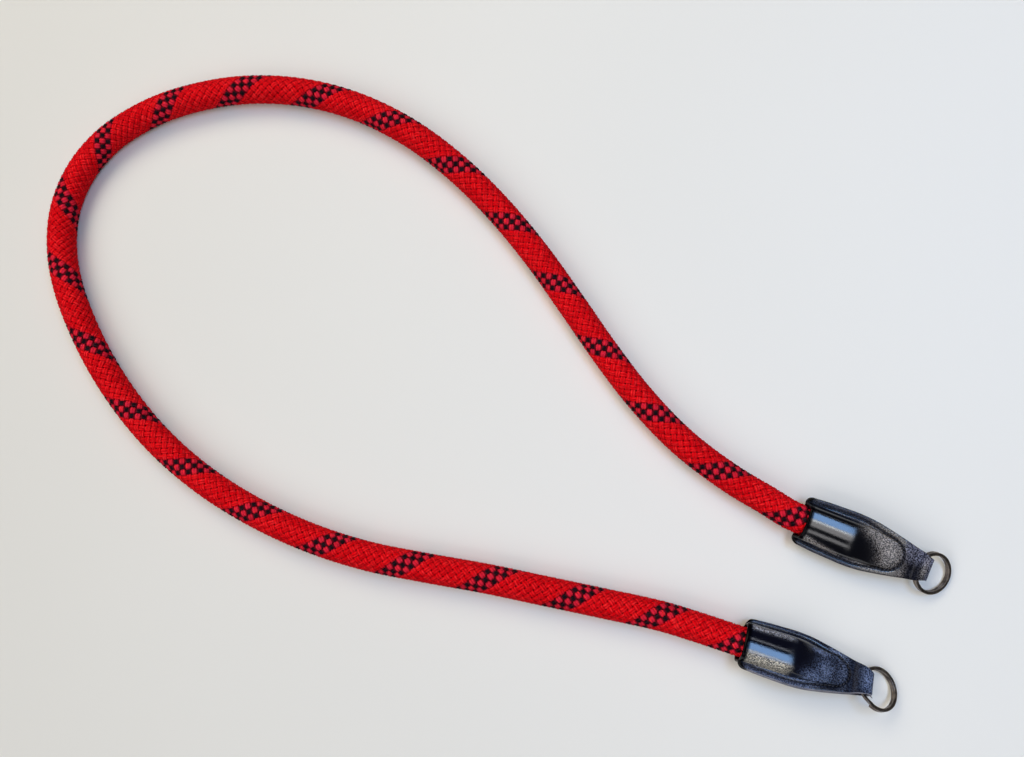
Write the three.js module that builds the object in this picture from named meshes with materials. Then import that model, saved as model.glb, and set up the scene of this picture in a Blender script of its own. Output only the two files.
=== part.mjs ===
// Camera neck strap: a round braided rope, and on each of its ends a leather tab and a split ring.
// The strap lies on a table in an open loop, as it was put down. Millimetres, +Z up, table at z = 0.
// The origin is on the table, at the middle of the box round the two tabs and their rings.
// Seen from above, +X is the side where the two ends lie and +Y runs from the lower to the upper tab.
import * as THREE from 'three';

// Rope
const ROPE_DIAMETER = 11;
const ROPE_SIDES = 10;
const ROPE_STEPS = 66;

// Leather tab: one strip, doubled back on itself round the ring and sewn along both borders
const LEATHER = 1.2;
const ROPE_CLEARANCE = 0.35;
const LAYER_GAP = 0.3;
const SLEEVE_LENGTH = 20;
const POCKET_END = 38.5;
const FILLET_START_DEG = 33;
const FILLET_RUN = 1.2;
const CORNER_RADIUS = 2.4;
const MOUTH_FADE = 8;

// Split ring: two flat turns of wire
const RING_OUTER_RADIUS = 7.75;
const WIRE_WIDTH = 1.4;
const WIRE_HEIGHT = 0.95;
const TURN_GAP = 0.1;
const RING_SWEEP_DEG = 676;
const CROSSING_START_DEG = 322;
const CROSSING_END_DEG = 356;
const RING_STEP_DEG = 13;
const RING_CLEARANCE = 0.35;

// Half width of the tab's outline along its length, from the rope's mouth to the fold
const OUTLINE = [
  { share: 0.00, half: 8.9 },
  { share: 0.16, half: 9.4 },
  { share: 0.38, half: 9.8 },
  { share: 0.50, half: 9.5 },
  { share: 0.61, half: 8.5 },
  { share: 0.71, half: 7.45 },
  { share: 0.81, half: 6.3 },
  { share: 0.90, half: 5.0 },
  { share: 1.00, half: 3.6 },
];

// Height of the pocket round the rope, as a share of the full sleeve, along the tab
const POCKET = [
  { along: SLEEVE_LENGTH, share: 1.00 },
  { along: 23, share: 0.80 },
  { along: 26, share: 0.50 },
  { along: 29, share: 0.27 },
  { along: 33, share: 0.12 },
  { along: POCKET_END, share: 0.00 },
];

// Each tab: its mouth on the rope's axis, its heading seen from above and its rise off the table,
// its length to the fold, how far its front edge is drawn back over the rope, its roll at the
// mouth and at the fold, how its tongue droops, and where its ring lies
const TABS = [
  {
    name: 'upper', mouth: [-15.3, 29.7, 6.7], heading: -21.9, rise: 1.8, length: 49.9, setback: 2.4,
    rollMouth: 8, rollFold: 5.2, droop: 25.2, ringAlong: 51.3, ringAcross: -0.8, ringTurn: 100,
  },
  {
    name: 'lower', mouth: [-36.9, -13.8, 6.7], heading: -17.3, rise: 1.6, length: 47.9, setback: 1.0,
    rollMouth: -20, rollFold: -26.5, droop: 21.5, ringAlong: 50.6, ringAcross: 0.1, ringTurn: 250,
  },
];
const DROOP_START = 41;
const DROOP_END = 43.5;

// Route of the rope's centre line, from inside the upper tab round the loop into the lower tab
const ROPE_ROUTE = [
  [2.3, 22.6, 7.2], [-6.0, 26.0, 7.0], [-15.3, 29.7, 6.7], [-18.5, 31.2, 6.55],
  [-26.7, 36.4, 6.1], [-38.7, 43.8, 5.65], [-55.8, 57.0, 5.52], [-70.8, 72.9, 5.5],
  [-84.1, 90.7, 5.5], [-96.7, 109.5, 5.5], [-109.8, 128.5, 5.5], [-124.4, 146.7, 5.5],
  [-140.9, 163.5, 5.5], [-159.8, 178.1, 5.5], [-181.2, 189.0, 5.5], [-204.3, 195.1, 5.5],
  [-228.2, 195.9, 5.5], [-251.5, 191.3, 5.5], [-266.0, 185.1, 5.5], [-278.8, 176.2, 5.5],
  [-288.5, 163.9, 5.5], [-293.9, 149.1, 5.5], [-294.4, 133.3, 5.5], [-290.9, 117.6, 5.5],
  [-281.0, 95.7, 5.5], [-268.0, 75.7, 5.5], [-252.4, 58.1, 5.5], [-234.4, 43.4, 5.5],
  [-214.7, 31.6, 5.5], [-193.9, 22.4, 5.5], [-172.4, 15.8, 5.5], [-150.6, 11.6, 5.5],
  [-128.9, 7.9, 5.5], [-107.5, 3.6, 5.5], [-86.3, -0.7, 5.52], [-65.3, -5.1, 5.65],
  [-51.9, -9.0, 6.1], [-36.9, -13.8, 6.7], [-28.0, -16.5, 7.0], [-18.7, -19.4, 7.2],
];

const radians = THREE.MathUtils.degToRad;
const smoothstep = THREE.MathUtils.smoothstep;

/** Straight-line value between the rows of a table. */
function tableValue(rows, key, value, at) {
  if (at <= rows[0][key]) return rows[0][value];
  for (let i = 1; i < rows.length; i += 1) {
    if (at <= rows[i][key]) {
      const t = (at - rows[i - 1][key]) / (rows[i][key] - rows[i - 1][key]);
      return THREE.MathUtils.lerp(rows[i - 1][value], rows[i][value], t);
    }
  }
  return rows[rows.length - 1][value];
}

/** Rope: a regular polygon carried along the route. */
function ropeGeometry() {
  const points = ROPE_ROUTE.map(([x, y, z]) => new THREE.Vector3(x, y, z));
  const path = new THREE.CatmullRomCurve3(points, false, 'centripetal');
  const section = new THREE.Shape();
  for (let side = 0; side < ROPE_SIDES; side += 1) {
    const angle = (2 * Math.PI * side) / ROPE_SIDES;
    const x = (ROPE_DIAMETER / 2) * Math.cos(angle);
    const y = (ROPE_DIAMETER / 2) * Math.sin(angle);
    if (side === 0) section.moveTo(x, y);
    else section.lineTo(x, y);
  }
  section.closePath();
  return new THREE.ExtrudeGeometry(section, {
    steps: ROPE_STEPS, extrudePath: path, bevelEnabled: false, curveSegments: 1,
  });
}

/** Middle line of the front layer across the sleeve: flange, fillet, arch over the rope, and back. */
function sleeveProfile() {
  const radius = ROPE_DIAMETER / 2 + ROPE_CLEARANCE + LEATHER / 2;
  const base = (LAYER_GAP + LEATHER) / 2;
  const start = radians(FILLET_START_DEG);
  const archFoot = new THREE.Vector2(radius * Math.cos(start), radius * Math.sin(start));
  const reach = (archFoot.y - base) / Math.cos(start);
  const corner = new THREE.Vector2(archFoot.x + reach * Math.sin(start), base);
  const flangeStart = new THREE.Vector2(corner.x + FILLET_RUN, base);
  const fillet = new THREE.QuadraticBezierCurve(flangeStart, corner, archFoot);
  const side = fillet.getPoints(3);
  const arch = [];
  const archSteps = 8;
  for (let i = 1; i < archSteps; i += 1) {
    const angle = start + ((Math.PI - 2 * start) * i) / archSteps;
    arch.push(new THREE.Vector2(radius * Math.cos(angle), radius * Math.sin(angle)));
  }
  const otherSide = side.map((p) => new THREE.Vector2(-p.x, p.y)).reverse();
  return [...side, ...arch, ...otherSide];
}

/** Bends the flat tab's own (along, up) down round a short arc where the tongue starts to droop. */
function droopPoint(along, up, droop) {
  const full = radians(droop);
  const bendLength = DROOP_END - DROOP_START;
  const into = THREE.MathUtils.clamp(along - DROOP_START, 0, bendLength);
  const angle = (full * into) / bendLength;
  const radius = bendLength / full;
  const before = Math.min(along, DROOP_START);
  const past = Math.max(along - DROOP_END, 0);
  const x = before + radius * Math.sin(angle) + past * Math.cos(full) + up * Math.sin(angle);
  const z = -radius * (1 - Math.cos(angle)) - past * Math.sin(full) + up * Math.cos(angle);
  return [x, z];
}

/** A point of the flat tab (along, across, up), drooped and rolled, in the tab's own frame. */
function tabPoint(tab, along, across, up) {
  const [x, z] = droopPoint(along, up, tab.droop);
  const roll = radians(THREE.MathUtils.lerp(
    tab.rollMouth, tab.rollFold, smoothstep(along, 0, POCKET_END)));
  return new THREE.Vector3(
    x, across * Math.cos(roll) - z * Math.sin(roll), across * Math.sin(roll) + z * Math.cos(roll));
}

/** Half of the space between the two layers: closed at the seam, open where the ring lies. */
function halfGap(along) {
  const open = WIRE_HEIGHT + TURN_GAP / 2 + RING_CLEARANCE;
  return THREE.MathUtils.lerp(LAYER_GAP / 2, open, smoothstep(along, POCKET_END, DROOP_END));
}

/** One row of middle points across the strip, on the front layer or mirrored on the back one. */
function layerRow(tab, along, layer, profile) {
  const half = tableValue(OUTLINE, 'share', 'half', along / tab.length);
  const sleeveHalf = tableValue(OUTLINE, 'share', 'half', SLEEVE_LENGTH / tab.length);
  const pocket = tableValue(POCKET, 'along', 'share', along);
  const narrow = along > SLEEVE_LENGTH ? half / sleeveHalf : 1;
  const base = (LAYER_GAP + LEATHER) / 2;
  const lift = halfGap(along) - LAYER_GAP / 2;
  const crest = ROPE_DIAMETER / 2 + ROPE_CLEARANCE + LEATHER / 2 - base;
  const edge = [half, base];
  const points = [edge, ...profile.map((p) => [p.x * narrow, p.y]), [-half, base]];
  return points.map(([across, height]) => {
    const rise = (height - base) * pocket;
    const past = Math.max(Math.abs(across) - (half - CORNER_RADIUS), 0);
    const corner = CORNER_RADIUS - Math.sqrt(Math.max(CORNER_RADIUS ** 2 - past ** 2, 0));
    const fade = Math.max(1 - along / MOUTH_FADE, 0);
    const shift = fade * (corner + (tab.setback * rise) / crest);
    return tabPoint(tab, along + shift, across, layer * (base + lift + rise));
  });
}

/** One row of middle points round the fold at the tongue's end, at a turn from 0 to 180 degrees. */
function foldRow(tab, turn, profile) {
  const radius = halfGap(tab.length) + LEATHER / 2;
  const along = tab.length - radius - LEATHER / 2 + radius * Math.sin(radians(turn));
  const half = tableValue(OUTLINE, 'share', 'half', along / tab.length);
  const narrow = half / tableValue(OUTLINE, 'share', 'half', SLEEVE_LENGTH / tab.length);
  const across = [half, ...profile.map((p) => p.x * narrow), -half];
  return across.map((y) => tabPoint(tab, along, y, radius * Math.cos(radians(turn))));
}

/** Tab: rows of middle points along the whole strip, given the leather's thickness both ways. */
function tabGeometry(tab, toWorld) {
  const profile = sleeveProfile();
  const foldStart = tab.length - halfGap(tab.length) - LEATHER;
  const stations = [0, 2, 4.5, 8, 12, 16, SLEEVE_LENGTH, 21.5, 23, 24.5, 26, 27.5, 29, 31, 33,
    35.5, POCKET_END, 40, DROOP_START, 42.2, DROOP_END, (DROOP_END + foldStart) / 2, foldStart];
  const rows = stations.map((along) => layerRow(tab, along, 1, profile));
  for (let turn = 22.5; turn < 180; turn += 22.5) rows.push(foldRow(tab, turn, profile));
  stations.slice().reverse().forEach((along) => rows.push(layerRow(tab, along, -1, profile)));

  const columns = rows[0].length;
  const normal = (i, j) => {
    const down = rows[Math.min(i + 1, rows.length - 1)][j].clone().sub(rows[Math.max(i - 1, 0)][j]);
    const right = rows[i][Math.min(j + 1, columns - 1)].clone().sub(rows[i][Math.max(j - 1, 0)]);
    return right.cross(down).normalize();
  };
  const positions = [];
  const toTab = toWorld.clone().invert();
  for (const side of [1, -1]) {
    rows.forEach((row, i) => row.forEach((middle, j) => {
      const point = middle.clone().addScaledVector(normal(i, j), (side * LEATHER) / 2);
      point.applyMatrix4(toWorld);
      point.z = Math.max(point.z, 0);
      point.applyMatrix4(toTab);
      positions.push(point.x, point.y, point.z);
    }));
  }
  const layerSize = rows.length * columns;
  const at = (side, i, j) => side * layerSize + i * columns + j;
  const triangles = [];
  const quad = (a, b, c, d) => triangles.push(a, b, c, a, c, d);
  for (let i = 0; i + 1 < rows.length; i += 1) {
    for (let j = 0; j + 1 < columns; j += 1) {
      quad(at(0, i, j), at(0, i, j + 1), at(0, i + 1, j + 1), at(0, i + 1, j));
      quad(at(1, i, j), at(1, i + 1, j), at(1, i + 1, j + 1), at(1, i, j + 1));
    }
    quad(at(0, i, 0), at(0, i + 1, 0), at(1, i + 1, 0), at(1, i, 0));
    quad(at(0, i, columns - 1), at(1, i, columns - 1), at(1, i + 1, columns - 1), at(0, i + 1, columns - 1));
  }
  const last = rows.length - 1;
  for (let j = 0; j + 1 < columns; j += 1) {
    quad(at(0, 0, j), at(1, 0, j), at(1, 0, j + 1), at(0, 0, j + 1));
    quad(at(0, last, j), at(0, last, j + 1), at(1, last, j + 1), at(1, last, j));
  }
  const geometry = new THREE.BufferGeometry();
  geometry.setAttribute('position', new THREE.Float32BufferAttribute(positions, 3));
  geometry.setIndex(triangles);
  geometry.computeVertexNormals();
  return geometry;
}

/** Split ring: a rectangular wire section swept round two turns that cross in one short stretch. */
function ringGeometry() {
  const level = (WIRE_HEIGHT + TURN_GAP) / 2;
  const inner = RING_OUTER_RADIUS - WIRE_WIDTH;
  const steps = Math.round(RING_SWEEP_DEG / RING_STEP_DEG);
  const positions = [];
  for (let i = 0; i <= steps; i += 1) {
    const sweep = (RING_SWEEP_DEG * i) / steps;
    const angle = radians(sweep);
    const height = THREE.MathUtils.lerp(
      -level, level, smoothstep(sweep, CROSSING_START_DEG, CROSSING_END_DEG));
    for (const [radius, up] of [[inner, -1], [RING_OUTER_RADIUS, -1], [RING_OUTER_RADIUS, 1], [inner, 1]]) {
      positions.push(
        radius * Math.cos(angle), radius * Math.sin(angle), height + (up * WIRE_HEIGHT) / 2);
    }
  }
  const triangles = [0, 1, 2, 0, 2, 3];
  for (let i = 0; i < steps; i += 1) {
    for (let side = 0; side < 4; side += 1) {
      const a = 4 * i + side;
      const b = 4 * i + ((side + 1) % 4);
      triangles.push(a, a + 4, b + 4, a, b + 4, b);
    }
  }
  const end = 4 * steps;
  triangles.push(end, end + 2, end + 1, end, end + 3, end + 2);
  const geometry = new THREE.BufferGeometry();
  geometry.setAttribute('position', new THREE.Float32BufferAttribute(positions, 3));
  geometry.setIndex(triangles);
  geometry.computeVertexNormals();
  return geometry;
}

/** One end of the strap: the tab on the rope's axis, and the ring in the tab's folded tongue. */
function strapEnd(tab, leather, metal) {
  const end = new THREE.Group();
  end.position.set(...tab.mouth);
  end.rotation.set(0, radians(-tab.rise), radians(tab.heading), 'ZYX');
  end.updateMatrixWorld(true);

  const tabMesh = new THREE.Mesh(tabGeometry(tab, end.matrixWorld), leather);
  tabMesh.name = `tab_${tab.name}`;
  end.add(tabMesh);

  const ringMesh = new THREE.Mesh(ringGeometry(), metal);
  ringMesh.name = `ring_${tab.name}`;
  const centre = tabPoint(tab, tab.ringAlong, tab.ringAcross, 0);
  const ahead = tabPoint(tab, tab.ringAlong + 1, tab.ringAcross, 0).sub(centre);
  const above = tabPoint(tab, tab.ringAlong, tab.ringAcross, 1).sub(centre);
  const beside = above.clone().cross(ahead);
  ringMesh.position.copy(centre);
  ringMesh.quaternion.setFromRotationMatrix(new THREE.Matrix4().makeBasis(ahead, beside, above));
  ringMesh.rotateZ(radians(tab.ringTurn));
  end.add(ringMesh);
  return end;
}

const ropeMaterial = new THREE.MeshStandardMaterial({ color: '#c8202c', roughness: 0.85, metalness: 0 });
const strap = new THREE.Group();
const rope = new THREE.Mesh(ropeGeometry(), ropeMaterial);
rope.name = 'rope';
strap.add(rope);
for (const tab of TABS) {
  const leather = new THREE.MeshStandardMaterial({ color: '#15161c', roughness: 0.4, metalness: 0 });
  const metal = new THREE.MeshStandardMaterial({ color: '#4a4642', roughness: 0.35, metalness: 1 });
  strap.add(strapEnd(tab, leather, metal));
}

export default strap;
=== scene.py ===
"""Look of a camera neck strap: a red braided rope with a black tracer, two leather tabs, two split rings.

It lies on a pale table in an open loop. Blender works in metres; the shapes below are worked out in
millimetres, +Z up with the table at z = 0, and scaled once where each mesh is made.
"""
import math

import bpy
import numpy as np
from mathutils import Matrix


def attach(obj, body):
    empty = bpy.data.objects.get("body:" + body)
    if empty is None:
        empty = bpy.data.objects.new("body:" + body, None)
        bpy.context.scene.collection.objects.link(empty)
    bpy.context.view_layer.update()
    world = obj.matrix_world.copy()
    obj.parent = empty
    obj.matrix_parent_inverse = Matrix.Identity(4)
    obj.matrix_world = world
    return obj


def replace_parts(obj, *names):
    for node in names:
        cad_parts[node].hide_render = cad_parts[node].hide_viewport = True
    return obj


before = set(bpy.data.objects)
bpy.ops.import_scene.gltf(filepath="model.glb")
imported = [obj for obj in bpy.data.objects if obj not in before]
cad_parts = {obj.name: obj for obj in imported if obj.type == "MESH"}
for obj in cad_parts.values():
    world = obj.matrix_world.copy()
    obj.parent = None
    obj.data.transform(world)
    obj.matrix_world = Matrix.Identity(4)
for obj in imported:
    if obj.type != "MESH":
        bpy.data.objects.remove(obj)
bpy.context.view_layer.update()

MM = 0.001

# Lengths are in mm unless a comment says otherwise

# Rope: diameter, whole length with both hidden ends, points drawn between two places of its route, even
# steps along its yarns and its core, and reach of the smoothing of the braid's turn
ROPE_DIAMETER = 11.0
ROUTE_STEPS = 60
YARN_STEP = 0.39
CORE_STEP = 2.5
BRAID_SMOOTHING = 7.0

# Braid: yarns each way round, the numbers of the black ones, and how a yarn lies and weaves
YARNS_EACH_WAY = 10
HALF_THE_YARNS = YARNS_EACH_WAY // 2
TRACER_YARNS = (9, 0, 1)
YARN_WIDTH = 2.12
TRACER_WIDTH = 1.84
YARN_THICKNESS = 1.2
YARN_WAVE = 0.46
CORE_RADIUS = 4.05

# Hidden ends of the rope: length of the braid's turn there, and how far and how much they are squeezed
HIDDEN_PITCH = 30.5
SQUEEZED_END = 6.0
SQUEEZE = 0.28

# Outline of a yarn with its two lobes, as shares of its width across and of its thickness outwards
YARN_SECTION = [
    (0.50, -0.12), (0.42, 0.28), (0.23, 0.49), (0.00, 0.33),
    (-0.23, 0.49), (-0.42, 0.28), (-0.50, -0.12), (0.00, -0.50),
]

# Leather tab: one strip, doubled back on itself round the ring and sewn along both borders. The sleeve's
# cross-section is a flat crown, a tight shoulder, a steep flank and a small fillet at its foot
LEATHER = 1.2
ROPE_CLEARANCE = 0.35
LAYER_GAP = 0.3
PROFILE_BASE = (LAYER_GAP + LEATHER) / 2
SLEEVE_LENGTH = 20.0
POCKET_END = 38.5
CROWN_RADIUS = 14.2
CROWN_TURN = math.radians(18.5)
SHOULDER_RADIUS = 2.0
FLANK_TURN = math.radians(80)
FILLET_RADIUS = 0.6
CORNER_RADIUS = 2.4
MOUTH_FADE = 8.0
DROOP_START = 41.0
DROOP_END = 43.5
EDGE_ROUND = 0.42
MOUTH_ROUND = 1.5
TAB_ROWS = 120
FOLD_STEPS = 15

# Split ring: two flat turns of wire
RING_OUTER_RADIUS = 7.75
WIRE_WIDTH = 1.2
WIRE_HEIGHT = 0.95
WIRE_SQUARENESS = 0.45
TURN_GAP = 0.1
RING_SWEEP = 676.0
CROSSING = (322.0, 356.0)
RING_CLEARANCE = 0.35

# Seam: where it starts, its inset from the border, where it draws in and by how much, and where its
# two runs turn and meet
SEAM_START = 1.6
SEAM_INSET = 1.65
SEAM_DRAWS_IN = 20.0
SEAM_DRAWN_IN = 0.5
SEAM_TURN_START = 31.0
SEAM_TURN_END = 38.2
SEAM_DEPTH = 0.24
SEAM_WIDTH = 0.45
STITCH_PITCH = 1.35
STITCH_LENGTH = 1.05
STITCH_RADIUS = 0.17
STITCH_SLANT = math.radians(14)

# Half width of the tab's outline along its length, from the rope's mouth to the fold
OUTLINE = {
    "share": [0.00, 0.16, 0.38, 0.50, 0.61, 0.71, 0.81, 0.90, 1.00],
    "half": [8.9, 9.4, 9.8, 9.5, 8.5, 7.45, 6.3, 5.0, 3.6],
}

# Height of the pocket round the rope, as a share of the full sleeve, against the distance past its end
POCKET = {
    "past": [0.0, 3.0, 6.0, 9.0, 13.0, 18.5],
    "share": [1.00, 0.80, 0.50, 0.27, 0.12, 0.00],
}

# Tabs: centre of the mouth, heading and rise of the axis in degrees, length, how far the mouth is set
# back at the crest, end of the sleeve, roll at the mouth and at the fold, droop of the tongue, where the
# ring's centre lies, and where its wire starts
TABS = {
    "upper": {
        "mouth": (-15.3, 29.7, 6.7), "heading": -21.9, "rise": 1.8, "length": 49.3, "setback": 1.5,
        "sleeve_end": 19.4, "roll_mouth": 8.0, "roll_fold": 5.2, "droop": 25.2,
        "ring_along": 51.3, "ring_across": -0.8, "ring_turn": 202.0,
    },
    "lower": {
        "mouth": (-36.9, -13.8, 6.7), "heading": -17.3, "rise": 1.6, "length": 47.4, "setback": -0.4,
        "sleeve_end": 17.8, "roll_mouth": -20.0, "roll_fold": -26.5, "droop": 21.5,
        "ring_along": 50.6, "ring_across": 0.1, "ring_turn": 250.0,
    },
}

# Where each mark starts and is full, along or across a tab: the painted light on the sleeve's strips, the
# dusty border, and the dull tongue
SLEEVE_PAINTED_LIGHT = {"from": (1.0, 2.0), "until": (14.0, 18.5)}
BORDER_WEAR = {"across": (6.2, 6.9), "until": (20.0, 30.0)}
TONGUE_DULL = (36.5, 38.5)

# Painted reflection: a pale strip along the fillet at the foot of each sleeve; its place across at the
# mouth, its drift per mm along and its width. The lower sleeve's flank, painted pale where it is lit,
# comes in and goes out across it
PAINTED_FOOT_REFLECTION = {"upper": (-4.4, -0.14, 0.7), "lower": (4.6, 0.0, 0.75)}
PAINTED_LIT_FLANK = {"in": (3.9, 4.7), "out": (6.4, 7.1)}

# Patches of each tab, worn, and on the lower tab a painted highlight on the worn grain: place along and
# reach, place across and width, and how strong each is
WORN_AND_LIT_PATCHES = {
    "upper": [
        (33.0, 3.8, 0.8, 6.0, 0.95), (28.6, 3.4, 4.0, 3.2, 0.85), (24.0, 3.2, 5.6, 2.0, 1.00),
        (25.6, 4.2, -7.1, 1.0, 0.85), (38.9, 1.3, -5.5, 3.5, 0.30), (45.2, 1.3, 0.0, 4.5, 0.75),
    ],
    "lower": [
        (24.4, 3.0, -6.2, 2.6, 1.00), (29.2, 3.6, -1.2, 4.2, 0.70), (26.8, 2.8, 4.6, 1.1, 0.95),
        (32.8, 3.0, 6.2, 1.7, 0.95), (35.5, 1.9, 0.5, 6.5, 0.40), (43.6, 1.5, 0.8, 5.0, 0.85),
    ],
}

# Route of the rope's centre line, from inside the upper tab round the loop into the lower tab
ROPE_ROUTE = [
    (2.3, 22.6, 7.2), (-6.0, 26.0, 7.0), (-15.3, 29.7, 6.7), (-18.5, 31.2, 6.55),
    (-26.7, 36.4, 6.1), (-38.7, 43.8, 5.65), (-55.8, 57.0, 5.52), (-70.8, 72.9, 5.5),
    (-84.1, 90.7, 5.5), (-96.7, 109.5, 5.5), (-109.8, 128.5, 5.5), (-124.4, 146.7, 5.5),
    (-140.9, 163.5, 5.5), (-159.8, 178.1, 5.5), (-181.2, 189.0, 5.5), (-204.3, 195.1, 5.5),
    (-228.2, 195.9, 5.5), (-251.5, 191.3, 5.5), (-266.0, 185.1, 5.5), (-278.8, 176.2, 5.5),
    (-288.5, 163.9, 5.5), (-293.9, 149.1, 5.5), (-294.4, 133.3, 5.5), (-290.9, 117.6, 5.5),
    (-281.0, 95.7, 5.5), (-268.0, 75.7, 5.5), (-252.4, 58.1, 5.5), (-234.4, 43.4, 5.5),
    (-214.7, 31.6, 5.5), (-193.9, 22.4, 5.5), (-172.4, 15.8, 5.5), (-150.6, 11.6, 5.5),
    (-128.9, 7.9, 5.5), (-107.5, 3.6, 5.5), (-86.3, -0.7, 5.52), (-65.3, -5.1, 5.65),
    (-51.9, -9.0, 6.1), (-36.9, -13.8, 6.7), (-28.0, -16.5, 7.0), (-18.7, -19.4, 7.2),
]

# Places along the rope where the tracer's middle yarn comes over the top, once a turn
TRACER_TOPS = [
    21.4, 52.1, 84.0, 114.0, 143.5, 173.0, 204.7, 236.6, 265.8, 298.6, 328.5, 357.6,
    385.8, 414.2, 445.0, 476.3, 506.7, 537.0, 567.3, 597.1, 627.6, 659.9, 690.1,
]

# Yarns, in screen colours of 0 to 255: deep, for darker crossings at random and as painted shade in the
# grooves; plain; a painted highlight on the flecks; beside the tracer; painted shade where a yarn dives
# under another, and on the black yarn the red of the yarns that cover its ends; and at a grazing view,
# painted shade on the red yarn and a crimson fringe on the black one. The last two values are how much a
# dive darkens it and how far from the top of a crossing, as a share of one, the dive starts
YARNS = {
    "red_yarn": {
        "deep": (164, 0, 8), "plain": (228, 0, 14), "fleck_highlight": (255, 42, 46), "beside": (202, 40, 72),
        "under": (70, 4, 16), "rim": (126, 4, 34), "dive_shade": 0.24, "dive_start": 0.13,
    },
    "black_yarn": {
        "deep": (8, 4, 6), "plain": (22, 12, 18), "fleck_highlight": (50, 32, 38), "beside": (22, 12, 18),
        "under": (120, 8, 28), "rim": (60, 8, 24), "dive_shade": 0.9, "dive_start": 0.08,
    },
}

# Leathers, in screen colours: unworn; pale in a bluish and in a beige tone, for scuffs and for painted
# reflection and painted light; dusty; and the cut edge, whose pale tone on the lower tab is its raw colour
# and a painted reflection
LEATHERS = {
    "upper": {
        "name": "leather_worn_and_lit_grey", "black": (4, 5, 12), "cool_wear_and_painted_light": (158, 160, 188),
        "warm_wear_and_painted_light": (200, 190, 183), "dusty": (120, 130, 164), "edge": (12, 12, 20),
    },
    "lower": {
        "name": "leather_worn_and_lit_navy", "black": (3, 5, 20), "cool_wear_and_painted_light": (140, 158, 200),
        "warm_wear_and_painted_light": (222, 214, 196), "dusty": (120, 130, 164), "edge": (168, 166, 176),
    },
}

# Camera: place in mm, and its own right, up and back directions
CAMERA_PLACE = (-101.16, 40.46, 355.69)
CAMERA_RIGHT = (0.998705, 0.0, -0.050878)
CAMERA_UP = (0.005887, 0.99328, 0.11555)
CAMERA_BACK = (0.050536, -0.11570, 0.99200)
CAMERA_LENS = 33.22
CAMERA_SENSOR = 36.0

# Lamps: place and the point each one faces in mm, bearing of its first side, two sides in metres,
# brightness in watts per square metre and solid angle, and tint. The strips overhead make the long
# reflections on the two sleeves; the three large ones are the soft light of the room
LAMPS = [
    {"name": "blue_window", "place": (243, 199, 900), "face": (243, 199, 0), "bearing": -20,
     "size": (0.24, 0.325), "brightness": 12.0, "tint": (0.31, 0.55, 1.0)},
    {"name": "bright_blind", "place": (172, 2, 900), "face": (172, 2, 0), "bearing": -20,
     "size": (0.24, 0.05), "brightness": 16.5, "tint": (0.93, 0.97, 1.0)},
    {"name": "grey_ceiling", "place": (122, -132, 900), "face": (122, -132, 0), "bearing": -20,
     "size": (0.24, 0.25), "brightness": 4.0, "tint": (1.0, 0.98, 1.0)},
    {"name": "grey_wall", "place": (13, -541, 900), "face": (13, -541, 0), "bearing": -20,
     "size": (0.26, 0.16), "brightness": 3.6, "tint": (1.0, 0.98, 1.0)},
    {"name": "window_bar", "place": (396, 590, 900), "face": (396, 590, 0), "bearing": -20,
     "size": (0.26, 0.05), "brightness": 6.5, "tint": (0.85, 0.9, 1.0)},
    {"name": "soft_left", "place": (-809, 658, 1072), "face": (-120, 80, 0), "bearing": 50,
     "size": (1.2, 1.2), "brightness": 1.6, "tint": (1.0, 0.92, 0.76)},
    {"name": "soft_back", "place": (-400, 900, 950), "face": (-80, 40, 0), "bearing": 20,
     "size": (0.9, 0.6), "brightness": 2.7, "tint": (1.0, 0.9, 0.72)},
    {"name": "soft_front", "place": (-784, -526, 919), "face": (-60, 40, 0), "bearing": -52,
     "size": (1.3, 0.9), "brightness": 1.65, "tint": (1.0, 1.0, 1.0)},
]

# Room: strength of its even light, its tint, and brightness of the backdrop seen by the camera alone
ROOM_STRENGTH = 0.06
ROOM_TINT = (1.0, 0.97, 0.95, 1.0)
BACKDROP = 0.66

# Table, in metres: half of its side, where it starts to fade and has faded into the backdrop, and the
# two ends of its painted light falloff, a slow change of tone from darker on the left to lighter on the
# right
TABLE_REACH = 3.0
TABLE_FADE = (0.5, 1.9)
PAINTED_LIGHT_FALLOFF = (-0.27, 0.13)


def unit(vectors):
    """Each vector divided by its own length."""
    return vectors / np.linalg.norm(vectors, axis=-1, keepdims=True)


def smoothstep(value, low, high):
    """3t^2 - 2t^3 of the share t that value has between low and high, held at 0 and 1 outside."""
    t = np.clip((value - low) / (high - low), 0.0, 1.0)
    return t * t * (3.0 - 2.0 * t)


def bump_at(value, centre, spread):
    """Bell curve exp(-((value - centre) / spread)^2)."""
    return np.exp(-(((value - centre) / spread) ** 2))


def turned(x, y, angle):
    """Point (x, y) turned about the origin by an angle in radians."""
    return x * np.cos(angle) - y * np.sin(angle), x * np.sin(angle) + y * np.cos(angle)


def even_steps(curve, spacing, whole):
    """Points at even distances along a curve, and those distances; whole rounds the number of steps."""
    along = np.concatenate([[0], np.cumsum(np.linalg.norm(np.diff(curve, axis=0), axis=1))])
    even = np.linspace(0, along[-1], whole(along[-1] / spacing) + 1)
    return np.stack([np.interp(even, along, places) for places in curve.T], axis=1), even


def smooth_table(value, places, heights, reach):
    """Smooth curve through a table: the mean of its straight-line heights within a reach either side."""
    offsets = np.linspace(-reach, reach, 9)
    return np.mean([np.interp(value + o, places, heights) for o in offsets], axis=0)


# Camera and view


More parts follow.
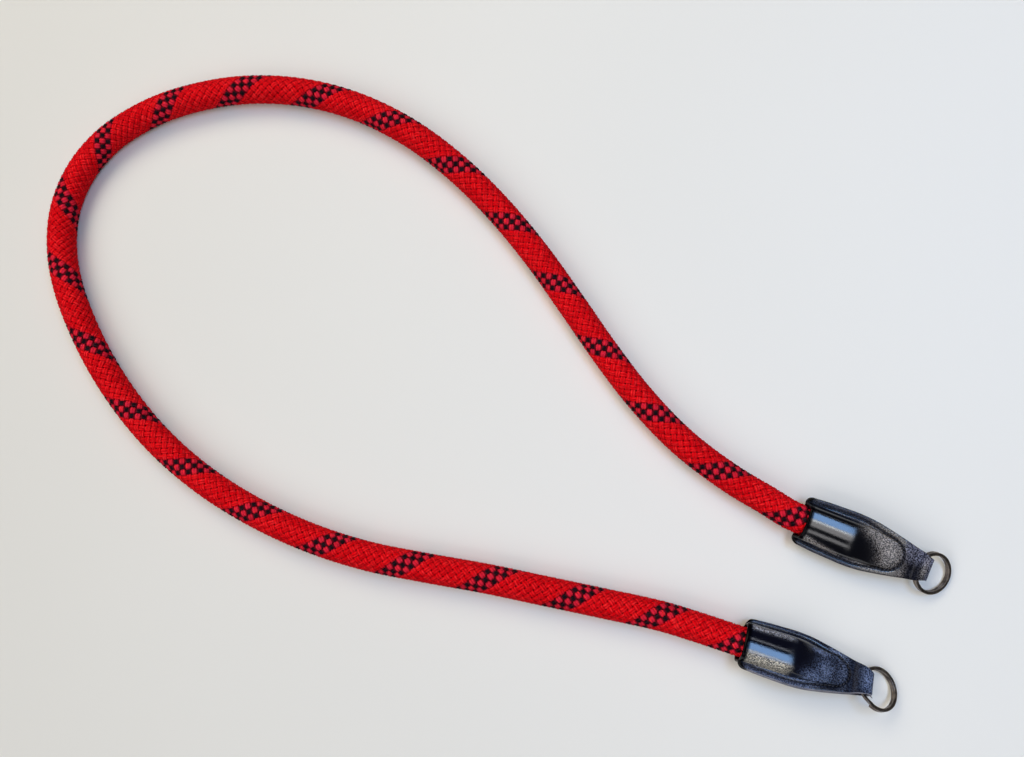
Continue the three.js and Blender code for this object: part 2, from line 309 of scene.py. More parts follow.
def add_camera():
    """Camera at its measured place, turned to its three measured directions."""
    data = bpy.data.cameras.new("view")
    data.lens = CAMERA_LENS
    data.sensor_width = CAMERA_SENSOR
    data.sensor_fit = "HORIZONTAL"
    data.clip_start = 0.01
    data.clip_end = 20.0
    camera = bpy.data.objects.new("view", data)
    bpy.context.collection.objects.link(camera)
    turn = Matrix((CAMERA_RIGHT, CAMERA_UP, CAMERA_BACK)).transposed()
    camera.matrix_world = Matrix.Translation([MM * v for v in CAMERA_PLACE]) @ turn.to_4x4()
    bpy.context.scene.camera = camera


# Meshes from arrays


def grid_cells(rows, columns):
    """Corner numbers (row, column) of each four-cornered cell of a grid with so many cells each way."""
    i, j = np.indices((rows, columns)).reshape(2, -1, 1)
    return i + np.array([0, 0, 1, 1]), j + np.array([0, 1, 1, 0])


def make_piece(name, points, face_groups, finish, uv_groups=None, masks=None):
    """Piece on the root body from points in mm and groups of faces, each group an array of corners."""
    mesh = bpy.data.meshes.new(name)
    sizes = np.concatenate([np.full(len(f), f.shape[1]) for f in face_groups])
    corners = np.concatenate([f.ravel() for f in face_groups]).astype(np.int32)
    starts = np.concatenate([[0], np.cumsum(sizes)[:-1]]).astype(np.int32)
    mesh.vertices.add(len(points))
    mesh.vertices.foreach_set("co", (np.asarray(points) * MM).astype(np.float32).ravel())
    mesh.loops.add(len(corners))
    mesh.loops.foreach_set("vertex_index", corners)
    mesh.polygons.add(len(sizes))
    mesh.polygons.foreach_set("loop_start", starts)
    mesh.polygons.foreach_set("use_smooth", np.ones(len(sizes), dtype=bool))
    if uv_groups is not None:
        layer = mesh.uv_layers.new(name="surface")
        flat = np.concatenate([g.reshape(-1, 2) for g in uv_groups]).astype(np.float32)
        layer.uv.foreach_set("vector", flat.ravel())
    mesh.materials.append(finish)
    for mask, values in (masks or {}).items():
        layer = mesh.attributes.new(mask, "FLOAT", "POINT")
        layer.data.foreach_set("value", np.asarray(values, dtype=np.float32).ravel())
    mesh.update(calc_edges=True)
    mesh.validate()
    piece = bpy.data.objects.new(name, mesh)
    bpy.context.collection.objects.link(piece)
    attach(piece, "root")
    return piece


def tube_faces(count, rings, sides):
    """Side cells and end caps of a number of equal tubes, and their unwrapped corner numbers."""
    i, j = grid_cells(rings - 1, sides)
    one = i * sides + j % sides
    offsets = (np.arange(count) * rings * sides)[:, None, None]
    cells = (one[None] + offsets).reshape(-1, 4)
    start = np.arange(sides)[::-1][None] + offsets[:, 0]
    end = (rings - 1) * sides + np.arange(sides)[None] + offsets[:, 0]
    return cells, np.concatenate([start, end]), i, j


def tube_piece(name, points, finish):
    """Piece of equal plain tubes from their points, counted by tube, ring along it and side round it."""
    cells, caps, _, _ = tube_faces(*points.shape[:3])
    return make_piece(name, points.reshape(-1, 3), [cells, caps], finish)


# Rope


def rope_line(spacing):
    """Centripetal Catmull-Rom curve through the route, cut into even steps: points and distances."""
    route = np.array(ROPE_ROUTE)
    ends = np.vstack([2 * route[0] - route[1], route, 2 * route[-1] - route[-2]])
    p0, p1, p2, p3 = (ends[k:len(ends) - 3 + k, None, :] for k in range(4))

    def gap(a, b):
        return np.sqrt(np.linalg.norm(b - a, axis=-1, keepdims=True))

    t1 = gap(p0, p1)
    t2 = t1 + gap(p1, p2)
    t3 = t2 + gap(p2, p3)
    t = t1 + (t2 - t1) * np.linspace(0, 1, ROUTE_STEPS, endpoint=False)[None, :, None]
    a1 = (t1 - t) / t1 * p0 + t / t1 * p1
    a2 = (t2 - t) / (t2 - t1) * p1 + (t - t1) / (t2 - t1) * p2
    a3 = (t3 - t) / (t3 - t2) * p2 + (t - t2) / (t3 - t2) * p3
    b1 = (t2 - t) / t2 * a1 + t / t2 * a2
    b2 = (t3 - t) / (t3 - t1) * a2 + (t - t1) / (t3 - t1) * a3
    curve = (t2 - t) / (t2 - t1) * b1 + (t - t1) / (t2 - t1) * b2
    return even_steps(np.vstack([curve.reshape(-1, 3), route[-1]]), spacing, round)


def rope_axes(line):
    """Along the rope: the upward direction square to its tangent, and the side between those two."""
    tangent = unit(np.gradient(line, axis=0))
    up = unit(np.array([0.0, 0.0, 1.0]) - tangent * tangent[:, 2:3])
    return up, np.cross(up, tangent)


def braid_phase(line, along, up, side):
    """Turn of the braid along the rope: one full turn from each tracer top to the next, smoothed."""
    to_camera = np.array(CAMERA_PLACE) - line
    facing = np.arctan2((to_camera * side).sum(1), (to_camera * up).sum(1))
    tops = np.array(TRACER_TOPS)
    turn = 2 * np.pi * np.arange(len(tops)) + np.interp(tops, along, facing)
    slope = 2 * np.pi / HIDDEN_PITCH
    margin = 40.0
    before, after = -margin, along[-1] + margin
    tops = np.concatenate([[before], tops, [after]])
    turn = np.concatenate([
        [turn[0] + slope * (before - tops[1])], turn, [turn[-1] + slope * (after - tops[-2])]])
    step = along[1] - along[0]
    wide = np.arange(before, after, step)
    reach = 3 * BRAID_SMOOTHING
    weights = bump_at(np.arange(-reach, reach + step, step), 0.0, BRAID_SMOOTHING)
    weights /= weights.sum()
    smooth = np.convolve(np.interp(wide, tops, turn), weights, mode="same")
    return np.interp(along, wide, smooth)


def end_squeeze(along):
    """Share of the rope's radius kept along it: 1, less a smooth step towards each hidden end."""
    inward = np.minimum(along, along[-1] - along)
    return 1 - SQUEEZE * (1 - smoothstep(inward, 0.0, SQUEEZED_END))


def yarn_points(numbers, direction, full_width, strands):
    """Yarns of one direction: flattened ovals carried along a helix that weaves in and out.

    The helix angle is direction times the phase plus the yarn's own share of a turn. The distance
    from the rope's axis is a middle radius plus direction times a cosine wave of the phase.
    """
    line, along, up, side, phase = strands
    middle = ROPE_DIAMETER / 2 - YARN_WAVE - YARN_THICKNESS / 2
    theta = direction * phase[None] + 2 * np.pi * numbers[:, None] / YARNS_EACH_WAY
    wave = np.cos(YARNS_EACH_WAY * phase)
    radius = (middle + direction * YARN_WAVE * wave) * end_squeeze(along)
    out = np.cos(theta)[..., None] * up + np.sin(theta)[..., None] * side
    centre = line + radius[None, :, None] * out
    ahead = unit(np.gradient(centre, axis=1))
    out = unit(out - ahead * (out * ahead).sum(-1, keepdims=True))
    across = np.cross(ahead, out)
    section = np.array(YARN_SECTION)
    width = full_width * (0.9 + 0.1 * direction * wave)
    return (centre[:, :, None]
            + across[:, :, None] * section[:, 0, None] * width[None, :, None, None]
            + out[:, :, None] * section[:, 1, None] * YARN_THICKNESS)


def yarn_piece(name, numbers, direction, width, finish, strands):
    """One piece of several whole yarns; its surface map counts crossings along and yarns across."""
    phase = strands[-1]
    numbers = np.array(numbers)
    points = yarn_points(numbers, direction, width, strands)
    count, rings, sides = points.shape[:3]
    cells, caps, i, j = tube_faces(count, rings, sides)
    forward = direction > 0
    uv = np.empty((count, len(i), 4, 2))
    uv[..., 0] = (phase * YARNS_EACH_WAY / (2 * np.pi) + (0.5 if forward else 0.0))[i][None]
    uv[..., 1] = (0.02 + 0.96 * j / sides)[None] + np.arange(count)[:, None, None]
    cap_uv = np.zeros((len(caps), sides, 2))
    crossed = numbers[:, None] - phase[None] * YARNS_EACH_WAY / np.pi
    crossed = np.abs((crossed + HALF_THE_YARNS) % YARNS_EACH_WAY - HALF_THE_YARNS)
    over = 0 * crossed if forward else np.clip(2.0 - crossed, 0, 1)
    golden = 0.618034
    tones = (numbers * golden + (0.0 if forward else 0.37)) % 1.0
    return make_piece(
        name, points.reshape(-1, 3), [cells, caps], finish, uv_groups=[uv, cap_uv],
        masks={
            "yarn_tone": np.repeat(tones, rings * sides),
            "over_tracer": np.repeat(over.ravel(), sides),
        })


def rope_core(finish, line, along):
    """Plain round tube inside the braid, which fills the gaps between the yarns."""
    up, side = rope_axes(line)
    sides = 16
    turn = 2 * np.pi * np.arange(sides) / sides
    ring = np.cos(turn)[:, None] * up[:, None] + np.sin(turn)[:, None] * side[:, None]
    points = line[:, None] + CORE_RADIUS * end_squeeze(along)[:, None, None] * ring
    return tube_piece("rope_core", points[None], finish)


# Leather tabs


def outline_half(tab, along):
    """Half width of the tab: a smooth curve through the outline table."""
    return smooth_table(np.asarray(along) / tab["length"], OUTLINE["share"], OUTLINE["half"], 0.05)


def pocket_share(tab, along):
    """Height of the pocket as a share of the full sleeve: a smooth curve through the pocket table."""
    return smooth_table(along - tab["sleeve_end"], POCKET["past"], POCKET["share"], 1.6)


def narrowing(tab, along, half):
    """Width of the sleeve's profile as a share of its full one: past the sleeve it follows the outline."""
    return np.where(along > SLEEVE_LENGTH, half / outline_half(tab, SLEEVE_LENGTH), 1.0)


def sleeve_profile(count):
    """Across the sleeve: half of its middle line, from the flange up to the crest.

    From the crest it is a wide flat arc, a tight arc round the shoulder, a straight steep flank and a
    small arc that turns back to the flange: each arc is radius (sin, cos) of the turn it starts from.
    """
    top = ROPE_DIAMETER / 2 + ROPE_CLEARANCE + LEATHER / 2
    crown = np.linspace(0, CROWN_TURN, count)
    crown = np.stack([CROWN_RADIUS * np.sin(crown), top - CROWN_RADIUS * (1 - np.cos(crown))], axis=1)
    turn = np.linspace(CROWN_TURN, FLANK_TURN, count)
    shoulder = crown[-1] + SHOULDER_RADIUS * np.stack(
        [np.sin(turn) - math.sin(CROWN_TURN), np.cos(turn) - math.cos(CROWN_TURN)], axis=1)
    turn = np.linspace(FLANK_TURN, 0, count)
    foot_rise = FILLET_RADIUS * (1 - math.cos(FLANK_TURN))
    foot_start = shoulder[-1, 0] + (shoulder[-1, 1] - PROFILE_BASE - foot_rise) / math.tan(FLANK_TURN)
    fillet = np.stack([
        foot_start + FILLET_RADIUS * (math.sin(FLANK_TURN) - np.sin(turn)),
        PROFILE_BASE + FILLET_RADIUS * (1 - np.cos(turn))], axis=1)
    return np.vstack([crown, shoulder[1:], fillet])[::-1]


PROFILE = sleeve_profile(12)
PROFILE_FOOT = PROFILE[0, 0]
PROFILE_CREST = PROFILE[-1, 1] - PROFILE_BASE


def half_gap(along):
    """Half of the space between the two layers: closed at the seam, open where the ring lies."""
    open_gap = WIRE_HEIGHT + TURN_GAP / 2 + RING_CLEARANCE
    return LAYER_GAP / 2 + (open_gap - LAYER_GAP / 2) * smoothstep(along, POCKET_END, DROOP_END)


def tab_point(tab, along, across, up):
    """Point of the flat tab, bent down round a short arc at the tongue, rolled about its axis, in mm."""
    full = math.radians(tab["droop"])
    bend = DROOP_END - DROOP_START
    angle = full * np.clip(along - DROOP_START, 0, bend) / bend
    radius = bend / full
    past = np.maximum(along - DROOP_END, 0)
    x = (np.minimum(along, DROOP_START) + radius * np.sin(angle) + past * math.cos(full)
         + up * np.sin(angle))
    z = -radius * (1 - np.cos(angle)) - past * math.sin(full) + up * np.cos(angle)
    ease = smoothstep(along, 0, POCKET_END)
    roll = np.radians(tab["roll_mouth"] + (tab["roll_fold"] - tab["roll_mouth"]) * ease)
    y, z = turned(across, z, roll)
    x, z = turned(x, z, math.radians(tab["rise"]))
    x, y = turned(x, y, math.radians(tab["heading"]))
    return np.stack(np.broadcast_arrays(x, y, z), axis=-1) + tab["mouth"]


def layer_middle(tab, along, across, layer):
    """Middle of one leather layer: 1 is the front one, -1 the back one, which mirrors it."""
    half = outline_half(tab, along)
    narrow = narrowing(tab, along, half)
    height = np.interp(np.abs(across / narrow), PROFILE[::-1, 0], PROFILE[::-1, 1]) - PROFILE_BASE
    rise = height * pocket_share(tab, along)
    past = np.clip(np.abs(across) - (half - CORNER_RADIUS), 0, CORNER_RADIUS)
    corner = CORNER_RADIUS - np.sqrt(CORNER_RADIUS ** 2 - past ** 2)
    fade = np.maximum(1 - along / MOUTH_FADE, 0)
    shift = fade * (corner + tab["setback"] * rise / PROFILE_CREST)
    lift = half_gap(along) - LAYER_GAP / 2
    return tab_point(tab, along + shift, across, layer * (PROFILE_BASE + lift + rise))


def layer_normal(tab, along, across, layer):
    """Outward direction of one layer, from small steps along and across its middle."""
    def middle(ahead, aside):
        return layer_middle(tab, along + ahead, across + aside, layer)

    step = 0.02
    forward = middle(step, 0.0) - middle(-step, 0.0)
    leftward = middle(0.0, step) - middle(0.0, -step)
    return layer * unit(np.cross(forward, leftward))


def seam_line(tab, spacing):
    """Seam on the flat tab, as (along, across): up one border, round a half oval, back down the other."""
    count = 160
    straight = np.linspace(SEAM_START, SEAM_TURN_START, count)
    inset = SEAM_INSET + SEAM_DRAWN_IN * smoothstep(straight, SEAM_DRAWS_IN, SEAM_TURN_START)
    border = outline_half(tab, straight) - inset
    turn = np.linspace(np.pi / 2, -np.pi / 2, count)[1:-1]
    reach = SEAM_TURN_END - SEAM_TURN_START
    oval = np.stack([SEAM_TURN_START + reach * np.cos(turn), border[-1] * np.sin(turn)], axis=1)
    line = np.vstack([
        np.stack([straight, border], axis=1), oval, np.stack([straight, -border], axis=1)[::-1]])
    return even_steps(line, spacing, math.floor)[0]


def seam_distance(tab, along, across):
    """Distance of each point of the flat tab from the seam."""
    line = seam_line(tab, 0.4)
    flat = np.stack(np.broadcast_arrays(along, across), axis=-1)
    return np.min(np.linalg.norm(flat[..., None, :] - line, axis=-1), axis=-1)


def tab_columns(tab, along):
    """Places across each row of the tab, closer together at the borders and on the sleeve's sides."""
    half = outline_half(tab, along)
    narrow = narrowing(tab, along, half)
    foot = PROFILE_FOOT * narrow
    edge = EDGE_ROUND * np.array([0.0, 0.04, 0.14, 0.32, 0.62, 1.0])
    flange = np.linspace(0, 1, 12)[1:-1]
    border = half[:, None] - edge
    between = border[:, -1:] + (foot[:, None] - border[:, -1:]) * flange
    arch = PROFILE[:, 0] * narrow[:, None]
    left = np.hstack([border, between, arch])
    return np.hstack([left, -left[:, -2::-1]]), half


def edge_taper(distance, reach):
    """Thickness share at a distance from a cut edge: a squarish round, (1 - (1 - d/reach)^3)^(1/3)."""
    left = 1 - np.clip(distance / reach, 0, 1)
    return (1 - left ** 3) ** (1 / 3)


def tab_grid(tab):
    """Middle points, outward directions, thickness shares and flat places of the whole doubled strip."""
    fold_start = tab["length"] - half_gap(tab["length"]) - LEATHER
    mouth_rows = MOUTH_ROUND * np.array([0.0, 0.01, 0.05, 0.13, 0.26, 0.44, 0.68])
    rows = np.concatenate([mouth_rows, np.linspace(MOUTH_ROUND, fold_start, TAB_ROWS)])
    columns, half = tab_columns(tab, rows)
    u = np.broadcast_to(rows[:, None], columns.shape)
    border = edge_taper(half[:, None] - np.abs(columns), EDGE_ROUND)
    thickness = border * edge_taper(u, MOUTH_ROUND)
    seam = SEAM_DEPTH * bump_at(seam_distance(tab, u, columns), 0.0, SEAM_WIDTH)
    front = layer_middle(tab, u, columns, 1)
    back = layer_middle(tab, u, columns, -1)
    front_out = layer_normal(tab, u, columns, 1)
    back_out = layer_normal(tab, u, columns, -1)

    turns = np.radians(np.linspace(0, 180, FOLD_STEPS)[1:-1])
    radius = half_gap(tab["length"]) + LEATHER / 2
    fold_rows = fold_start + radius * np.sin(turns)
    fold_columns, fold_half = tab_columns(tab, np.minimum(fold_rows, tab["length"]))
    w = fold_rows[:, None] + 0 * fold_columns
    height = (radius * np.cos(turns))[:, None] + 0 * fold_columns
    fold = tab_point(tab, w, fold_columns, height)
    inner = tab_point(tab, fold_start + 0 * w, fold_columns, 0 * w)
    fold_out = unit(fold - inner)
    fold_border = edge_taper(fold_half[:, None] - np.abs(fold_columns), EDGE_ROUND)

    def whole(front_part, fold_part, back_part):
        return np.concatenate([front_part, fold_part, back_part[::-1]])

    return {
        "middle": whole(front, fold, back),
        "out": whole(front_out, fold_out, back_out),
        "thickness": whole(thickness, fold_border, thickness),
        "border": whole(border, fold_border, border),
        "seam": whole(seam, 0 * w, seam),
        "along": whole(u, w, u),
        "across": whole(columns, fold_columns, columns),
        "layer": whole(0 * u + 1, np.cos(turns)[:, None] + 0 * w, 0 * u - 1),
    }


def wear_and_painted_light_masks(tab_name, grid):
    """Leather masks, each 0 to 1: pale from wear and painted light, its beige share, dusty, dull and
    smoky.

    A patch, worn and on the lower tab a painted highlight, is its amount times a bell curve along and
    another across; the painted reflection at the sleeve's foot is a bell curve across, as long as the
    sleeve; the flank painted pale where lit, border and tongue come in by smooth steps; the painted light
    at the end of the fold is a bell curve along.
    """
    u, v = grid["along"], grid["across"]
    front = np.clip(grid["layer"], 0, 1)
    sleeve = smoothstep(u, *SLEEVE_PAINTED_LIGHT["from"]) * (1 - smoothstep(u, *SLEEVE_PAINTED_LIGHT["until"]))
    border = smoothstep(np.abs(v), *BORDER_WEAR["across"]) * (1 - smoothstep(u, *BORDER_WEAR["until"]))
    dull = np.maximum(0.5 * border, 0.6 * smoothstep(u, *TONGUE_DULL))
    # Worn patches; on the lower tab their bluish tone is a painted highlight on the worn grain
    patches = sum(
        amount * bump_at(u, along, reach) * bump_at(v, across, width)
        for along, reach, across, width, amount in WORN_AND_LIT_PATCHES[tab_name])
    # Painted light: the rounded end of the fold, which faces the light, is painted paler
    fold = 0.45 * bump_at(u, u.max() - 0.9, 1.2)
    dusty = 0.4 * border
    # Painted reflection: a pale strip along the fillet at the sleeve's foot
    at, drift, width = PAINTED_FOOT_REFLECTION[tab_name]
    foot = bump_at(v, at + drift * u, width) * sleeve
    if tab_name == "upper":
        warm_wear_and_painted_light = patches + foot
        cool_wear_and_painted_light = (0.05 + 0.45 * smoothstep(v, -1.5, 3.0)) * smoothstep(u, 36.0, 38.5)
    else:
        # Painted light: the flank of the lower sleeve that faces the light is painted pale
        flank = smoothstep(-v, *PAINTED_LIT_FLANK["in"]) * (1 - smoothstep(-v, *PAINTED_LIT_FLANK["out"])) * sleeve
        warm_wear_and_painted_light = flank + 0.5 * foot
        cool_wear_and_painted_light = patches + 0.5 * foot + 0.1 * smoothstep(u, 34.5, 37.0)
        dusty = border * np.where(v < 0, 1.0, 0.5)
    scuff_and_painted_light = warm_wear_and_painted_light + cool_wear_and_painted_light + fold
    return {
        "scuff_and_painted_light": np.clip(scuff_and_painted_light, 0, 1) * (0.25 + 0.75 * front),
        "warm_wear_and_painted_light": np.clip(warm_wear_and_painted_light / (scuff_and_painted_light + 0.01), 0, 1),
        "dusty": dusty,
        "dull": dull,
        "smoky": bump_at(u, TABS[tab_name]["sleeve_end"] - 1.2, 1.6),
    }


def tab_piece(tab_name, finish):
    """Whole leather tab as one closed skin: outer side, inner side and the cut edge between them."""
    tab = TABS[tab_name]
    grid = tab_grid(tab)
    half = (LEATHER / 2) * grid["thickness"][..., None]
    thick_enough = half > LEATHER / 4
    outer = grid["middle"] + grid["out"] * (half - grid["seam"][..., None] * thick_enough)
    inner = grid["middle"] - grid["out"] * half
    points = np.concatenate([outer.reshape(-1, 3), inner.reshape(-1, 3)])
    points[:, 2] = np.maximum(points[:, 2], 0.0)

    # The two skins share their corners all round the cut edge
    rows, columns = grid["thickness"].shape
    number = np.arange(rows * columns).reshape(rows, columns)
    inside = number + number.size
    inside[:, [0, -1]] = number[:, [0, -1]]
    inside[[0, -1]] = number[[0, -1]]
    i, j = grid_cells(rows - 1, columns - 1)
    u, v = grid["along"], grid["across"]
    uv = np.stack([u[i, j], v[i, j]], axis=-1) * 0.1
    looks = {
        "cut_edge": 1 - smoothstep(grid["border"], 0.55, 0.98),
        # Masks of painted shade: the mouth rim and the seam groove
        "shaded_mouth_rim": 1 - smoothstep(u, 1.0, 2.3),
        "seam_groove": grid["seam"] / SEAM_DEPTH,
        **wear_and_painted_light_masks(tab_name, grid),
    }
    masks = {name: np.tile(values.ravel(), 2) for name, values in looks.items()}
    masks["raw_side"] = np.repeat([0.0, 1.0], number.size)
    return make_piece(
        f"leather_{tab_name}", points, [number[i, j], inside[i, j][:, ::-1]], finish,
        uv_groups=[uv, uv[:, ::-1]], masks=masks)


def thread_points(path, radius, sides, taper):
    """Round thread along each of many paths: at each step a circle of the radius times the taper."""
    ahead = unit(np.gradient(path, axis=1))
    across = unit(np.cross(ahead, np.array([0.0, 0.0, 1.0])))
    up = np.cross(across, ahead)
    turn = 2 * np.pi * np.arange(sides) / sides
    ring = (np.cos(turn)[:, None] * across[:, :, None] + np.sin(turn)[:, None] * up[:, :, None])
    return path[:, :, None] + radius * taper[None, :, None, None] * ring


def stitches(tab_name, finish):
    """Stitches in the seam: short threads that rise out of one hole and dive into the next."""
    tab = TABS[tab_name]
    line = seam_line(tab, STITCH_PITCH)
    centre = 0.5 * (line[:-1] + line[1:])
    heading = unit(np.gradient(line, axis=0))[:-1]
    slanted = np.stack(turned(*heading.T, STITCH_SLANT), axis=1)
    step = np.linspace(-0.5, 0.5, 7)
    flat = centre[:, None] + slanted[:, None] * (STITCH_LENGTH * step)[None, :, None]
    lift = LEATHER / 2 - SEAM_DEPTH + 0.12 - 0.32 * (2 * step) ** 4
    groups = []
    for layer in (1, -1):
        middle = layer_middle(tab, flat[..., 0], flat[..., 1], layer)
        out = layer_normal(tab, flat[..., 0], flat[..., 1], layer)
        groups.append(middle + out * lift[None, :, None])
    path = np.concatenate(groups)
    path[..., 2] = np.maximum(path[..., 2], STITCH_RADIUS)
    taper = np.array([0.6, 0.9, 1.0, 1.0, 1.0, 0.9, 0.6])
    points = thread_points(path, STITCH_RADIUS, 6, taper)
    return tube_piece(f"stitches_{tab_name}", points, finish)


def thread_tail(tab_name, finish):
    """Loose end of thread at the tongue's lower corner: one short thread bent up by half a sine wave."""
    tab = TABS[tab_name]
    along = tab["length"] - 1.2
    edge = -outline_half(tab, along)
    start = tab_point(tab, along, edge + 0.5, 0.4)
    aim = tab_point(tab, along + 1.9, edge - 0.2, 0.3)
    t = np.linspace(0, 1, 9)[:, None]
    path = start + (aim - start) * t + np.array([0, 0, 0.15]) * np.sin(np.pi * t)
    path[:, 2] = np.maximum(path[:, 2], 0.2)
    points = thread_points(path[None], 0.16, 6, np.array([0.9] * 8 + [0.5]))
    return tube_piece(f"thread_end_{tab_name}", points, finish)


# Split rings


def ring_piece(tab_name, finish):
    """Split ring: a rounded flat section swept round two turns that cross in one short stretch.

    The section is the point (cos, sin) of a turn with each share raised to a power under one, which
    squares it; its height along the sweep is a smooth step from the lower turn to the upper one.
    """
    tab = TABS[tab_name]

    def spot(ahead, up):
        return tab_point(tab, tab["ring_along"] + ahead, tab["ring_across"], up)

    rings, sides = 240, 20
    sweep = np.linspace(0, RING_SWEEP, rings)
    level = (WIRE_HEIGHT + TURN_GAP) / 2
    height = -level + 2 * level * smoothstep(sweep, *CROSSING)
    turn = 2 * np.pi * (np.arange(sides) + 0.5) / sides
    wide = np.sign(np.cos(turn)) * np.abs(np.cos(turn)) ** WIRE_SQUARENESS
    tall = np.sign(np.sin(turn)) * np.abs(np.sin(turn)) ** WIRE_SQUARENESS
    radius = RING_OUTER_RADIUS - WIRE_WIDTH / 2 + wide[None] * WIRE_WIDTH / 2
    rise = height[:, None] + tall[None] * WIRE_HEIGHT / 2
    angle = np.radians(sweep + tab["ring_turn"])[:, None]
    centre = spot(0.0, 0.0)
    ahead = spot(1.0, 0.0) - centre
    above = spot(0.0, 1.0) - centre
    beside = np.cross(above, ahead)
    points = (centre + (radius * np.cos(angle))[..., None] * ahead
              + (radius * np.sin(angle))[..., None] * beside + rise[..., None] * above)
    cells, caps, i, j = tube_faces(1, rings, sides)
    lines_per_turn = 4.5
    arc = (RING_SWEEP / 360) * (i / (rings - 1))
    uv = np.stack([arc * lines_per_turn, j / sides], axis=-1)
    return make_piece(
        f"split_ring_{tab_name}", points.reshape(-1, 3), [cells, caps], finish,
        uv_groups=[uv, np.zeros((2, sides, 2))])


# Finishes


class Finish:
    """Small helper that adds and joins shader nodes of one material or group."""

    def __init__(self, tree):
        self.tree = tree

    def fill(self, sockets, values):
        """Numbers or links on sockets, each found by its name or its place in the row."""
        for key, value in values.items():
            if isinstance(value, bpy.types.NodeSocket):
                self.tree.links.new(value, sockets[key])
            else:
                sockets[key].default_value = value

    def node(self, kind, values=None, **settings):
        """New node of a kind, with its settings and with numbers or links on its sockets."""
        made = self.tree.nodes.new(kind)
        for key, value in settings.items():
            setattr(made, key, value)
        self.fill(made.inputs, values or {})
        return made

    def mix(self, share, first, second):
        """Two colours mixed by a share."""
        return self.node("ShaderNodeMix", {0: share, 6: first, 7: second}, data_type="RGBA").outputs[2]

    def math(self, operation, first, second=0.0, third=0.0, clamp=False):
        """One arithmetic step."""
        values = {0: first, 1: second, 2: third}
        return self.node("ShaderNodeMath", values, operation=operation, use_clamp=clamp).outputs[0]

    def times(self, first, second, clamp=False):
        """Product of two values."""
        return self.math("MULTIPLY", first, second, clamp=clamp)

    def times_plus(self, first, second, third):
        """Product of the first two values, plus the third."""
        return self.math("MULTIPLY_ADD", first, second, third)

    def larger(self, first, second):
        """Larger of two values."""
        return self.math("MAXIMUM", first, second)

    def spread(self, value, low, high, to_low=0.0, to_high=1.0):
        """Value moved from one range to another, held at its ends."""
        return self.node("ShaderNodeMapRange", {
            "Value": value, "From Min": low, "From Max": high, "To Min": to_low, "To Max": to_high,
        }).outputs["Result"]

    def noise(self, place, scale, detail, roughness=0.5):
        """Soft random pattern round a half."""
        return self.node("ShaderNodeTexNoise", {
            "Vector": place, "Scale": scale, "Detail": detail, "Roughness": roughness,
        }).outputs["Fac"]

    def bump(self, height, strength, distance):
        """Normal of a surface raised by a height."""
        return self.node("ShaderNodeBump", {
            "Height": height, "Strength": strength, "Distance": distance,
        }).outputs["Normal"]

    def place(self):
        """Place on the object, in metres."""
        return self.node("ShaderNodeTexCoord").outputs["Object"]

    def flat(self):
        """Place on the piece's own surface map."""
        return self.node("ShaderNodeUVMap", uv_map="surface").outputs["UV"]

    def mask(self, name):
        """Mask that is kept on the mesh."""
        return self.node("ShaderNodeAttribute", attribute_name=name).outputs["Fac"]

    def group(self, tree, **values):
        """Outputs of a shader group placed in this material."""
        made = self.node("ShaderNodeGroup", node_tree=tree)
        self.fill(made.inputs, values)
        return made.outputs


def colour(red, green, blue):
    """Linear colour with full cover from screen values of 0 to 255."""
    shares = np.array([red, green, blue]) / 255.0
    linear = np.where(shares <= 0.04045, shares / 12.92, ((shares + 0.055) / 1.055) ** 2.4)
    return (*[float(v) for v in linear], 1.0)


def new_group(name, inputs, outputs):
    """Empty shader group of number sockets; inputs are name to default, outputs are names alone."""
    tree = bpy.data.node_groups.new(name, "ShaderNodeTree")
    for socket_name, default in inputs.items():
        socket = tree.interface.new_socket(socket_name, in_out="INPUT", socket_type="NodeSocketFloat")
        socket.default_value = default
    for socket_name in outputs:
        tree.interface.new_socket(socket_name, in_out="OUTPUT", socket_type="NodeSocketFloat")
    made = Finish(tree)
    return made, made.node("NodeGroupInput").outputs, made.node("NodeGroupOutput").inputs


def grain_group():
    """Leather grain: rounded cells of two sizes with creases between, slow mottling and fine speckle."""
    made, given, result = new_group(
        "leather_grain", {"Cells per metre": 1400.0}, ("Height", "Crease", "Mottle", "Speckle"))
    place = made.place()
    count = given["Cells per metre"]

    def cells(scale, crease_width):
        distance = made.node(
            "ShaderNodeTexVoronoi", {"Vector": place, "Scale": scale}, feature="DISTANCE_TO_EDGE")
        return made.spread(distance.outputs["Distance"], 0.0, crease_width)

    coarse = cells(count, 0.12)
    fine = cells(made.times(count, 2.3), 0.10)
    made.fill(result, {
        "Height": made.times_plus(coarse, 0.7, made.times(fine, 0.3)),
        "Crease": made.math("SUBTRACT", 1.0, coarse),
        "Mottle": made.noise(place, 160.0, 3.0, 0.6),
        "Speckle": made.noise(place, made.times(count, 1.5), 2.0, 0.7),
    })
    return made.tree


